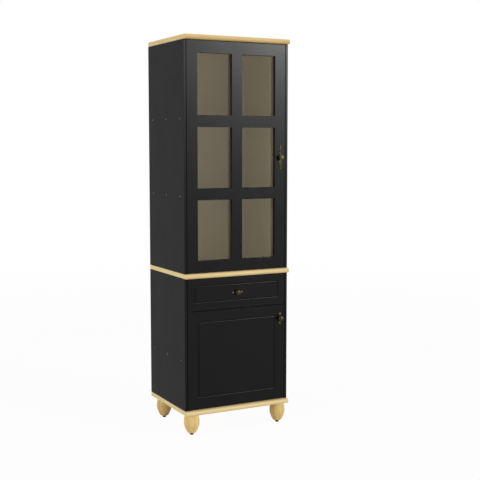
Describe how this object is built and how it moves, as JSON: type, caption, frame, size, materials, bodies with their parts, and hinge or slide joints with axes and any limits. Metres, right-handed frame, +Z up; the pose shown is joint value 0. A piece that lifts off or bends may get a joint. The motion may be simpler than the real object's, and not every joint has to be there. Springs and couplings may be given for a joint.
{
  "type": "china cabinet",
  "caption": "Tall narrow china cabinet with a glazed upper door, a drawer over a panelled lower door, round-fronted wooden boards and turned feet.",
  "frame": {"origin": "on the floor, under the middle of the cabinet's box", "axes": "+X to the right seen from the front, +Y to the back, +Z up; the doors and drawer face -Y"},
  "size_m": [0.55, 0.444, 1.872],
  "materials": {
    "black_paint": "satin black paint over board",
    "pine": "pale wood, satin varnish",
    "lining": "plain beige board",
    "glass": "clear flat glass",
    "old_brass": "antique brass, darkened in the hollows",
    "steel": "zinc plated",
    "black_plastic": "matte black",
    "white_plastic": "matte off-white"
  },
  "bodies": {
    "case": {"top_board": "pine", "middle_board": "pine", "bottom_board": "pine", "upper_left_side": "black_paint", "upper_right_side": "black_paint", "lower_left_side": "black_paint", "lower_right_side": "black_paint", "upper_back_panel": "lining", "lower_back_panel": "lining", "upper_shelf_high": "lining", "upper_shelf_low": "lining", "lower_shelf": "lining", "drawer_divider": "lining", "foot_front_left": "pine", "foot_front_right": "pine", "foot_back_left": "pine", "foot_back_right": "pine", "glide_front_left": "black_plastic", "glide_front_right": "black_plastic", "glide_back_left": "black_plastic", "glide_back_right": "black_plastic", "case_slide_left": "steel", "case_slide_right": "steel", "upper_door_top_pivot": "steel", "upper_door_bottom_pivot": "steel", "lower_door_top_pivot": "steel", "lower_door_bottom_pivot": "steel", "upper_door_catch": "black_plastic", "lower_door_catch": "black_plastic"},
    "upper_door": {"upper_door_frame": "black_paint", "upper_door_glass": "glass", "glass_bead_left": "black_paint", "glass_bead_right": "black_paint", "glass_bead_top": "black_paint", "glass_bead_bottom": "black_paint", "upper_door_knob": "old_brass", "upper_door_knob_plate": "old_brass", "upper_door_knob_screw": "steel", "upper_door_top_bush": "white_plastic", "upper_door_bottom_bush": "white_plastic", "upper_door_strike": "steel"},
    "lower_door": {"lower_door_panel": "black_paint", "lower_door_knob": "old_brass", "lower_door_knob_plate": "old_brass", "lower_door_knob_screw": "steel", "lower_door_top_bush": "white_plastic", "lower_door_bottom_bush": "white_plastic", "lower_door_strike": "steel"},
    "drawer": {"drawer_front": "black_paint", "drawer_left_side": "lining", "drawer_right_side": "lining", "drawer_back": "lining", "drawer_bottom": "lining", "drawer_knob": "old_brass", "drawer_knob_plate": "old_brass", "drawer_knob_screw": "steel", "drawer_slide_left": "steel", "drawer_slide_right": "steel"}
  },
  "joints": [
    {"name": "upper_door_hinge", "type": "hinge", "parent": "case", "child": "upper_door", "pos_m": [-0.248, -0.193, 1.311], "axis": [0, 0, -1], "range_deg": [0, 110]},
    {"name": "lower_door_hinge", "type": "hinge", "parent": "case", "child": "lower_door", "pos_m": [-0.248, -0.193, 0.357], "axis": [0, 0, -1], "range_deg": [0, 110]},
    {"name": "drawer_slide", "type": "slide", "parent": "case", "child": "drawer", "axis": [0, -1, 0], "range_m": [0, 0.25]}
  ]
}
